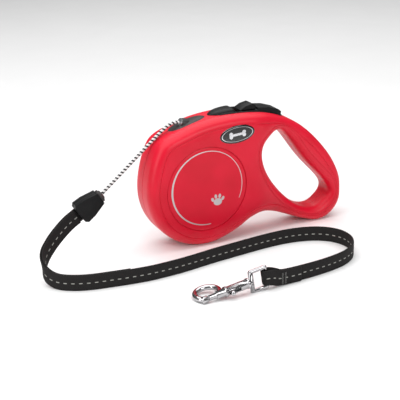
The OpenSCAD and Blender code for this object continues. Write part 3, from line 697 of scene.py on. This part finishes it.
def face_patch(outer, inner, circle=None):
    """Points and triangles that fill the space inside `outer` and outside `inner` and `circle`."""
    loops = [outer, inner] + ([] if circle is None else [circle])
    starts = np.cumsum([0] + [len(k) for k in loops])
    edges = [e for k, first in zip(loops, starts) for e in
             (first + np.stack([np.arange(len(k)), (np.arange(len(k)) + 1) % len(k)], 1)).tolist()]
    net = np.stack(np.meshgrid(np.arange(-88, 88, 4.0), np.arange(-2, 104, 4.0)), 2).reshape(-1, 2)
    keep = inside(net, outer) & ~inside(net, inner)
    edge_points = np.vstack(loops)
    net = net[keep]
    net = net[nearest(net, edge_points) > 1.6]
    points = np.vstack([edge_points, net])
    made = delaunay_2d_cdt([Vector(p) for p in points.tolist()], edges, [], 0, 1e-6)
    tris = np.array([f for f in made[2] if len(f) == 3])
    spots = np.array([tuple(v) for v in made[0]])
    middle = spots[tris].mean(1)
    keep = inside(middle, outer) & ~inside(middle, inner)
    if circle is not None:
        keep &= ~inside(middle, circle)
    return spots, tris[keep]


# %% Cutters
WELL = [(-8.2, 88.5), (32.2, 88.5), (32.2, 118), (-8.2, 118)]


def prism(name, corners, y0, y1):
    """A flat drawing in X and Z, made thick along Y."""
    flat = np.array(corners, float)
    rows = [np.stack([flat[:, 0], np.full(len(flat), yy), flat[:, 1]], 1) for yy in (y0, y1)]
    return surface(name, np.array(rows), lids=True)


def cut(obj, *cutters):
    """Takes the cutters' volumes from a piece, and leaves a plain mesh."""
    for cutter in cutters:
        step = obj.modifiers.new("cut", "BOOLEAN")
        step.operation, step.solver, step.object = "DIFFERENCE", "EXACT", cutter
    bpy.context.view_layer.update()
    settled = bpy.data.meshes.new_from_object(obj.evaluated_get(bpy.context.evaluated_depsgraph_get()))
    obj.modifiers.clear()
    obj.data = settled
    for cutter in cutters:
        bpy.data.objects.remove(cutter)
    return obj


def crisp(obj, degrees=32.0):
    """Smooth shading that stops at edges sharper than this."""
    mesh = obj.data
    mesh.polygons.foreach_set("use_smooth", np.ones(len(mesh.polygons), bool))
    mesh.set_sharp_from_angle(angle=math.radians(degrees))
    return obj


# %% Shells put together
def shell_mesh(name, side):
    """Strips for the two edges, patches for the face and the inner wall, and the disc's seat."""
    parts, faces, count = [], [], 0

    def add(points, new):
        nonlocal count
        parts.append(points)
        faces.extend((np.asarray(new) + count).tolist())
        count += len(points)

    def strip(rows, around=True):
        grid = np.array(rows)
        n, m = grid.shape[:2]
        i, j = (g.ravel() for g in np.meshgrid(np.arange(n - 1), np.arange(m), indexing="ij"))
        j2 = (j + 1) % m
        add(grid.reshape(-1, 3), np.stack([i * m + j, (i + 1) * m + j, (i + 1) * m + j2, i * m + j2], 1))

    def patch(outer, inner, circle, lower, turned):
        spots, tris = face_patch(outer[:, ::2], inner[:, ::2], circle)
        add(np.stack([spots[:, 0], lower - half_thick(spots), spots[:, 1]], 1),
            tris[:, ::-1] if turned else tris)

    seat = arc(DISC_X, DISC_Z, SEAT_R, np.arange(0, 360, 2.5))
    strip(outer_side)
    patch(outer_side[-1], hole_side[0], seat, 0.0, False)
    strip(hole_side)
    patch(inner_side[0], hole_side[-1], None, 2.4, True)
    strip(inner_side)
    steps = [(SEAT_R, 17.0), (SEAT_R, 16.2), (20.0, 16.2), (0.05, 16.2)]
    rows = [np.insert(arc(DISC_X, DISC_Z, r, np.arange(0, 360, 2.5)), 1, -yy, 1) for r, yy in steps]
    strip(rows)
    mesh = bpy.data.meshes.new(name)
    mesh.from_pydata((np.vstack(parts) * [MM, side * MM, MM]).tolist(), [], faces)
    work = bmesh.new()
    work.from_mesh(mesh)
    bmesh.ops.remove_doubles(work, verts=work.verts, dist=3e-6)
    bmesh.ops.recalc_face_normals(work, faces=work.faces)
    open_edges = sum(len(e.link_faces) != 2 for e in work.edges)
    print(name, "open edges:", open_edges, "faces:", len(work.faces))
    work.to_mesh(mesh)
    work.free()
    obj = bpy.data.objects.new(name, mesh)
    bpy.context.scene.collection.objects.link(obj)
    return obj


for side, word in ((1, "left"), (-1, "right")):
    shell = shell_mesh("shell_" + word, side)
    crisp(cut(shell, prism("well_cutter", WELL, -7.6, 7.6)), 30)
    red_shell.on(shell)
    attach(shell, "housing")
    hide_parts("housing_" + word)

# %% [markdown]
# ## Side discs and badges
# Both are shallow caps: a disc whose edge rolls over, and an oval lens. Each is a grid of rings
# round a middle, with the height given by a power of the distance from it.


# %% Caps
def cap(name, cx, cz, half_x, half_z, tilt, side, rim_y, crown, roll, thick, sharp=16):
    """Rings about a middle: height = crown * (1 - t^2) - roll * t^sharp, and a flat back."""
    t = np.sin(np.linspace(0.02, math.pi / 2, 26))[:, None]
    a = np.radians(np.arange(0, 360, 3.0))[None, :]
    u, v = half_x * t * np.cos(a), half_z * t * np.sin(a)
    c, s = math.cos(math.radians(tilt)), math.sin(math.radians(tilt))
    high = rim_y + crown * (1 - t**2) - roll * t**sharp + 0 * a
    front = np.stack([cx + u * c - v * s, -side * high, cz + u * s + v * c], 2)
    back = front[-1:].copy()
    back[:, :, 1] = -side * (rim_y - thick)
    return surface(name, np.concatenate([front, back]), lids=True)


for side, word in ((1, "left"), (-1, "right")):
    disc = cap("disc_" + word, DISC_X, DISC_Z, 33.6, 33.6, 0, side, 16.98, 0.12, 0.5, 0.78, 60)
    printed_disc.on(disc)
    badge = cap("badge_cap_" + word, BADGE_X, BADGE_Z, 15, 7, BADGE_TILT, side, 17.35, 0.35, 0.4,
                0.9, 14)
    badge_gloss.on(badge)
    for piece, node in ((disc, "side_disc_" + word), (badge, "badge_" + word)):
        crisp(piece, 50)
        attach(piece, "housing")
        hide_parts(node)

# %% [markdown]
# ## Nozzle
# A smooth oval boss that the cord leaves through. Its top follows a long curve and its edge rolls
# down into the shells. A short lip stands round the cord.

# %% Nozzle
t = np.sin(np.linspace(0.02, math.pi / 2, 30))[:, None]
a = np.radians(np.arange(0, 360, 4.0))[None, :]
long, wide = 17.5 * t * np.cos(a), 7.6 * t * np.sin(a)
tall = 1.4 - long**2 / 180 - 1.1 * t**10 - 0.9 * (wide / 7.6) ** 2
lean = math.radians(17)
nozzle_top = np.stack([-50 + long * math.cos(lean) - tall * math.sin(lean), wide,
                       96.9 + long * math.sin(lean) + tall * math.cos(lean)], 2)
skirt = nozzle_top[-1:] + [4.2 * math.sin(lean), 0, -4.2 * math.cos(lean)]
nozzle = surface("nozzle_boss", np.concatenate([nozzle_top, skirt]), lids=True)
lip_line = np.array([(r, h) for r, h in ((1.45, -3), (1.45, 2.6), (1.9, 3.15), (2.9, 3.1), (3.6, 2.5),
                                         (4.0, 1.2), (4.4, -1.5), (4.4, -3))])
spin = np.radians(np.arange(0, 360, 6.0))
out = np.array([math.cos(math.radians(157)), 0, math.sin(math.radians(157))])
up = np.array([-out[2], 0, out[0]])
lip_grid = (np.array([-50.8, 0, 97.4]) + lip_line[:, None, 1:] * out
            + lip_line[:, None, :1] * (np.cos(spin)[None, :, None] * up
                                       + np.sin(spin)[None, :, None] * np.array([0, 1.0, 0])))
lip = surface("nozzle_lip", lip_grid, along=True)
for piece in (nozzle, lip):
    nozzle_grey.on(crisp(piece, 40))
    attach(piece, "housing")
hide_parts("cord_nozzle")

# %% [markdown]
# ## Pieces that keep their solid shape
# The brake, the stopper and the metal hook are right as they are, but moulded edges are never knife
# sharp. Their solids are copied and the loose triangles are joined. On the plastic ones, flat faces
# are merged and a small bevel catches the light along each edge.

# %% Softened copies
def softened(node, name, finish, bevel=0.0, angle=35.0, levels=2):
    """A joined copy of a solid piece, with its sharp edges rounded by `bevel` mm."""
    mesh = NODES[node].data.copy()
    mesh.name = name
    obj = bpy.data.objects.new(name, mesh)
    bpy.context.scene.collection.objects.link(obj)
    work = bmesh.new()
    work.from_mesh(mesh)
    bmesh.ops.remove_doubles(work, verts=work.verts, dist=2e-6)
    if bevel:
        bmesh.ops.dissolve_limit(work, angle_limit=math.radians(2), verts=work.verts, edges=work.edges)
    work.to_mesh(mesh)
    work.free()
    mesh.polygons.foreach_set("use_smooth", np.ones(len(mesh.polygons), bool))
    if bevel:
        edge = obj.modifiers.new("edge", "BEVEL")
        edge.width, edge.segments, edge.limit_method = bevel * MM, levels, "ANGLE"
        edge.angle_limit, edge.harden_normals = math.radians(angle), False
        edge.use_clamp_overlap = True
        settled = bpy.data.meshes.new_from_object(
            obj.evaluated_get(bpy.context.evaluated_depsgraph_get()))
        obj.modifiers.clear()
        obj.data = settled
    crisp(obj, 34)
    finish.on(obj)
    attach(obj, body_of_node(node))
    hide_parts(node)
    print(name, "has", len(obj.data.polygons), "faces")
    return obj


# The bezel is a low teardrop that drops away before the slider. A thin rim goes round the whole brake.
bezel_keys = np.array([(-29.4, 100.6, 0.5), (-28.8, 101.9, 2.4), (-27.2, 102.9, 4.4),
                       (-23.5, 104.0, 6.4), (-18.5, 104.8, 7.4), (-13, 105.2, 7.7),
                       (-10.7, 105.0, 7.7), (-9.4, 103.4, 7.7), (-8.6, 102.4, 7.7),
                       (-8.0, 102.2, 7.7)])
BEZEL_FOOT, BEZEL_SUNK = 99.8, 3.5   # the height where its sides meet the shells, and its depth below
bezel_line = catmull(bezel_keys, 6, False)
rim = np.radians(np.arange(0, 360, 7.5))
rim_cos, rim_sin = np.cos(rim), np.sin(rim)
across_y = np.sign(rim_cos) * abs(rim_cos) ** 0.55
raise_z = np.where(rim_sin > 0, abs(rim_sin) ** 0.6, -abs(rim_sin) ** 0.6)
bezel_grid = np.stack([
    np.repeat(bezel_line[:, :1], len(rim), 1), bezel_line[:, 2:] * across_y,
    BEZEL_FOOT + np.where(rim_sin > 0, (bezel_line[:, 1:2] - BEZEL_FOOT) * raise_z,
                          BEZEL_SUNK * raise_z)], 2)
bezel = surface("bezel_cover", bezel_grid, lids=True)
top_side = outline[outline[:, 1] > 80]
top_order = np.argsort(top_side[:, 0])


def shell_top(at_x):
    """Height of the housing's upper outline."""
    return np.interp(at_x, top_side[top_order, 0], top_side[top_order, 1])


loop_turn = np.radians(np.arange(0, 360, 3.0))
rim_x = 2.0 + 31.2 * np.sign(np.cos(loop_turn)) * abs(np.cos(loop_turn)) ** 0.5
rim_y = 8.0 * np.sign(np.sin(loop_turn)) * abs(np.sin(loop_turn)) ** 0.62
rim_y = rim_y * np.clip((rim_x + 31) / 9, 0.25, 1) ** 0.5
rim_line = np.stack([rim_x, rim_y, shell_top(rim_x) + 0.05], 1)
rim_section = 0.75 * np.stack([np.cos(turns), np.sin(turns)], 1)
ahead = unit(np.roll(rim_line, -1, 0) - np.roll(rim_line, 1, 0))
side_way = unit(np.cross(ahead, [0, 0, 1.0]))
rim_grid = (rim_line[:, None] + rim_section[None, :, :1] * side_way[:, None]
            + rim_section[None, :, 1:] * np.cross(side_way, ahead)[:, None])
brake_rim = surface("brake_rim", rim_grid, along=True)
for piece in (bezel, brake_rim):
    black_satin.on(crisp(piece, 40))
    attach(piece, "housing")
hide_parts("brake_bezel")
softened("brake_button", "button_lever", black_satin, 0.7, 35, 3)
softened("lock_slider", "slider_ridge", black_satin, 0.5, 30, 3)
stopper_a = softened("stopper_front", "stopper_shell_front", black_satin, 1.1, 35, 3)
stopper_b = softened("stopper_back", "stopper_shell_back", black_satin, 1.1, 35, 3)
collar = softened("stopper_collar", "stopper_nose", nozzle_grey, 0.25, 35, 2)
for node in ("snap_eye", "snap_hook", "snap_collar", "snap_bolt"):
    softened(node, node + "_chrome", chrome)

# %% Finishes of the pieces inside
INSIDE = {
    steel: ("axle", "brake_pivot_pin", "pawl_pin", "brake_pawl", "ratchet_ring", "cord_anchor_pin",
            "spring_arbor", "housing_screws", "strap_pin", "cord_eyelet", "brake_spring",
            "power_spring", "snap_spring"),
    brass: ("axle_washers", "reel_bush"),
    nylon: ("reel_drum", "reel_flange", "spring_cover", "cord_wound", "cord_inner", "cord_knot"),
}
for finish, names in INSIDE.items():
    for name in names:
        finish.on(NODES[name])

# %% The strap line's start and every third point in metres, computed and not kept
tuple(strap_line[0] * MM)
(strap_line[::3] * MM).tolist() + [(strap_line[-1] * MM).tolist()]

# %% [markdown]
# ## Table and light
# A glossy white table and large soft lights from above, the left and the front. The air is dim, so
# that gloss and chrome show the lights against something darker.

# %% Floor
floor_finish = Finish("white_table", Specular_IOR_Level=0.5)
cloud = floor_finish.grain(60.0, 2.0)
floor_finish.paint("Base Color", floor_finish.tint(cloud, (0.93, 0.93, 0.93), (0.95, 0.95, 0.95)))
floor_finish.paint("Roughness", 0.12 + cloud * 0.06)
floor_grid = np.stack(np.meshgrid(np.linspace(-6000, 6000, 5), np.linspace(-6000, 6000, 5),
                                  indexing="ij") + [np.full((5, 5), 0.0)], 2)
floor = surface("table_floor", floor_grid, around=False)
floor_finish.on(floor)

# %% Lights
world = bpy.data.worlds.new("studio_air")
world.use_nodes = True
world.node_tree.nodes["Background"].inputs[0].default_value = (1.0, 1.0, 1.0, 1.0)
world.node_tree.nodes["Background"].inputs[1].default_value = 0.22
bpy.context.scene.world = world


def softbox(name, place, aim, wide, tall, watts):
    """A rectangle of light at a place, turned to face another."""
    data = bpy.data.lights.new(name, "AREA")
    data.shape, data.size, data.size_y, data.energy = "RECTANGLE", wide, tall, watts
    lamp = bpy.data.objects.new(name, data)
    lamp.location = place
    lamp.rotation_mode = "QUATERNION"
    lamp.rotation_quaternion = (Vector(aim) - Vector(place)).to_track_quat("-Z", "Y")
    bpy.context.scene.collection.objects.link(lamp)
    return lamp


softbox("key_above", (-0.1, 0.15, 1.15), (-0.03, 0, 0.0), 2.2, 1.7, 27.0)
softbox("side_left", (-1.2, -0.2, 0.5), (-0.04, 0, 0.05), 0.35, 0.9, 5.0)
softbox("front_fill", (0.25, -1.3, 0.7), (-0.02, 0, 0.03), 0.9, 0.45, 8.0)
